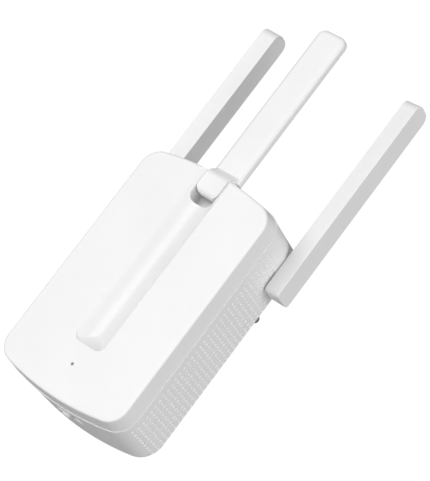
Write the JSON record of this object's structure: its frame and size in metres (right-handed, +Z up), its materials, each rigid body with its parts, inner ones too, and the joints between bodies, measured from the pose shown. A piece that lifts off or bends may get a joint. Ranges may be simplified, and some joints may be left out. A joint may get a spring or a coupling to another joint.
{
  "type": "wifi range extender",
  "caption": "Plug-in wireless range extender: bowed front cover with a channel, dimpled sides, folding bar antennas, bottom button and a round plug boss with pins.",
  "frame": {"origin": "middle of the plug's face, midway between the two pins, where it meets the wall socket", "axes": "+Y out of the plug's face into the wall, +X to the right seen from the front, +Z up"},
  "size_m": [0.0816, 0.0745, 0.1837],
  "materials": {
    "white_shell": "satin",
    "white_inner": "satin",
    "black_sleeve": "satin",
    "plated_pin": "polished",
    "contact_brass": "satin",
    "board_green": "satin",
    "ferrite": "matt",
    "coil_tape": "satin",
    "capacitor_sleeve": "satin",
    "resistor_coat": "matt",
    "package_black": "matt",
    "disc_coat": "satin",
    "header_black": "satin",
    "tin_plate": "satin",
    "thermal_rubber": "matt",
    "light_body": "gloss",
    "clear_pipe": "gloss",
    "coax_jacket": "satin",
    "spring_steel": "satin",
    "screw_zinc": "satin"
  },
  "bodies": {
    "housing": {"front_cover": "white_shell", "rear_housing": "white_shell", "plug_boss": "white_shell", "main_board": "board_green", "power_board": "board_green", "transformer_core": "ferrite", "transformer_coil": "coil_tape", "input_capacitor": "capacitor_sleeve", "output_capacitor": "capacitor_sleeve", "fuse_resistor": "resistor_coat", "bridge_rectifier": "package_black", "input_choke": "ferrite", "safety_capacitor": "disc_coat", "power_header": "header_black", "shield_can": "tin_plate", "radio_chip": "package_black", "heat_pad": "thermal_rubber", "memory_chip": "package_black", "status_light": "light_body", "light_pipe": "clear_pipe", "antenna_sockets": "contact_brass", "middle_lead": "coax_jacket", "switch_body": "package_black", "housing_screws": "screw_zinc", "board_screws": "screw_zinc", "power_board_screws": "screw_zinc", "middle_hinge_pin": "spring_steel", "left_plug_pin": "plated_pin", "left_pin_sleeve": "black_sleeve", "left_pin_contact": "contact_brass", "left_hinge_lead": "coax_jacket", "left_hinge_washer": "spring_steel", "right_plug_pin": "plated_pin", "right_pin_sleeve": "black_sleeve", "right_pin_contact": "contact_brass", "right_hinge_lead": "coax_jacket", "right_hinge_washer": "spring_steel"},
    "left_antenna": {"left_antenna_shell": "white_shell", "left_antenna_cover": "white_inner", "left_antenna_radiator": "board_green", "left_antenna_coax": "coax_jacket", "left_hinge_clip": "spring_steel"},
    "right_antenna": {"right_antenna_shell": "white_shell", "right_antenna_cover": "white_inner", "right_antenna_radiator": "board_green", "right_antenna_coax": "coax_jacket", "right_hinge_clip": "spring_steel"},
    "middle_antenna": {"middle_antenna_front": "white_shell", "middle_antenna_back": "white_shell", "middle_radiator": "board_green"},
    "button": {"push_button": "white_shell"},
    "plunger": {"switch_plunger": "black_sleeve"}
  },
  "joints": [
    {"name": "left_antenna_fold", "type": "hinge", "parent": "housing", "child": "left_antenna", "pos_m": [-0.0335, -0.0262, 0.0141], "axis": [1, 0, 0], "range_deg": [0, 180]},
    {"name": "right_antenna_fold", "type": "hinge", "parent": "housing", "child": "right_antenna", "pos_m": [0.0335, -0.0262, 0.0141], "axis": [1, 0, 0], "range_deg": [0, 180]},
    {"name": "middle_antenna_fold", "type": "hinge", "parent": "housing", "child": "middle_antenna", "pos_m": [0, -0.0518, 0.0232], "axis": [1, 0, 0], "range_deg": [0, 180]},
    {"name": "button_press", "type": "slide", "parent": "housing", "child": "button", "axis": [0, 0, 1], "range_m": [0, 0.0003], "stiffness_N_per_m": 3000},
    {"name": "plunger_press", "type": "slide", "parent": "housing", "child": "plunger", "axis": [0, 0, 1], "range_m": [0, 0.0003]}
  ],
  "couplings": [
    {"joint": "plunger_press", "follows": "button_press", "ratio": 1}
  ]
}
